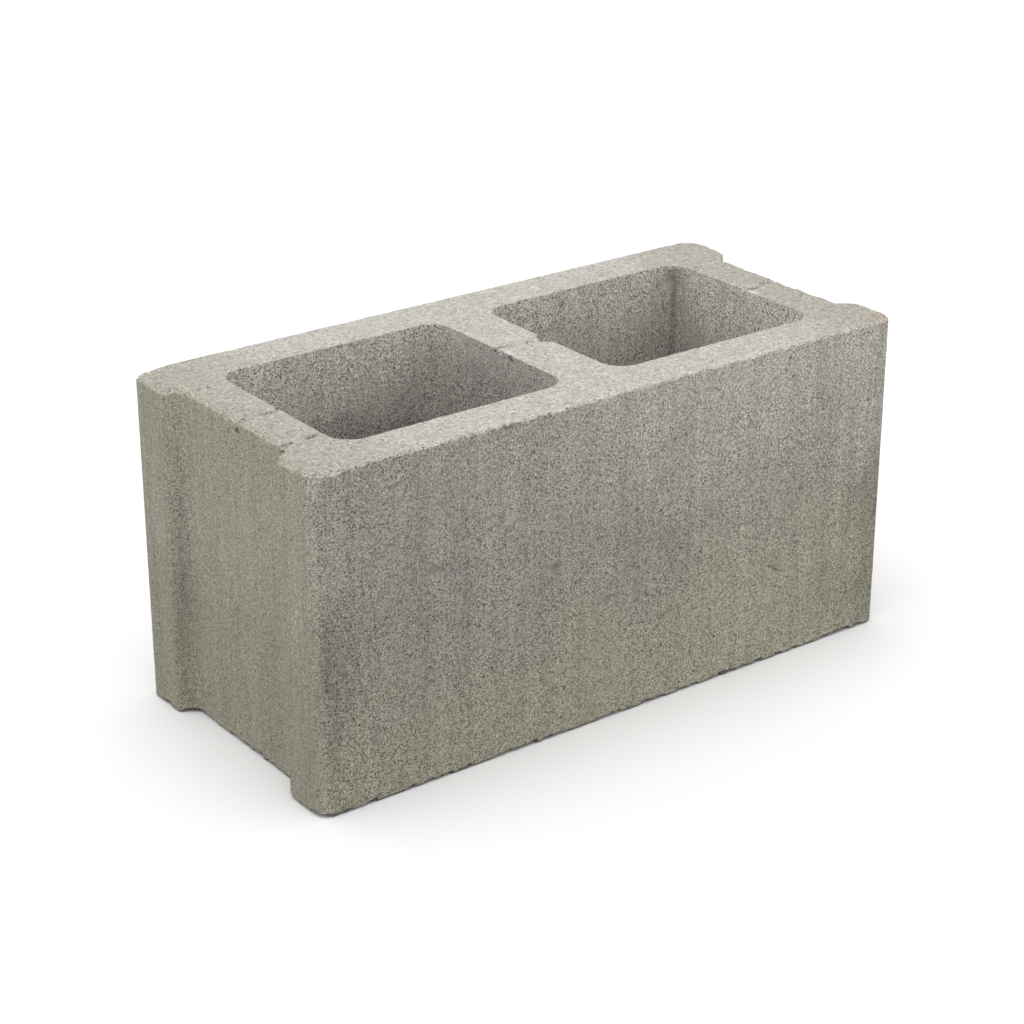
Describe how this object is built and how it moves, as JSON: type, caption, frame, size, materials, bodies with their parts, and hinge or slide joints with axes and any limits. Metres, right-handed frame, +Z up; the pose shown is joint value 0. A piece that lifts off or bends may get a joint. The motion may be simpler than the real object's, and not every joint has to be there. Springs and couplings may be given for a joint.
{
  "type": "hollow concrete block",
  "caption": "Hollow concrete block with through cores, rounded core corners and a shallow mortar recess between sloped flanges at each end, for laying in a masonry wall.",
  "frame": {"origin": "middle of the bed face that the block stands on", "axes": "+X along the block's length, +Y across its width, +Z up along the cores, from the bed to the face that shows the bar marks"},
  "size_m": [0.39, 0.178, 0.19],
  "materials": {
    "cast_concrete": "matte"
  },
  "bodies": {
    "root": {"concrete_block": "cast_concrete"}
  },
  "joints": []
}
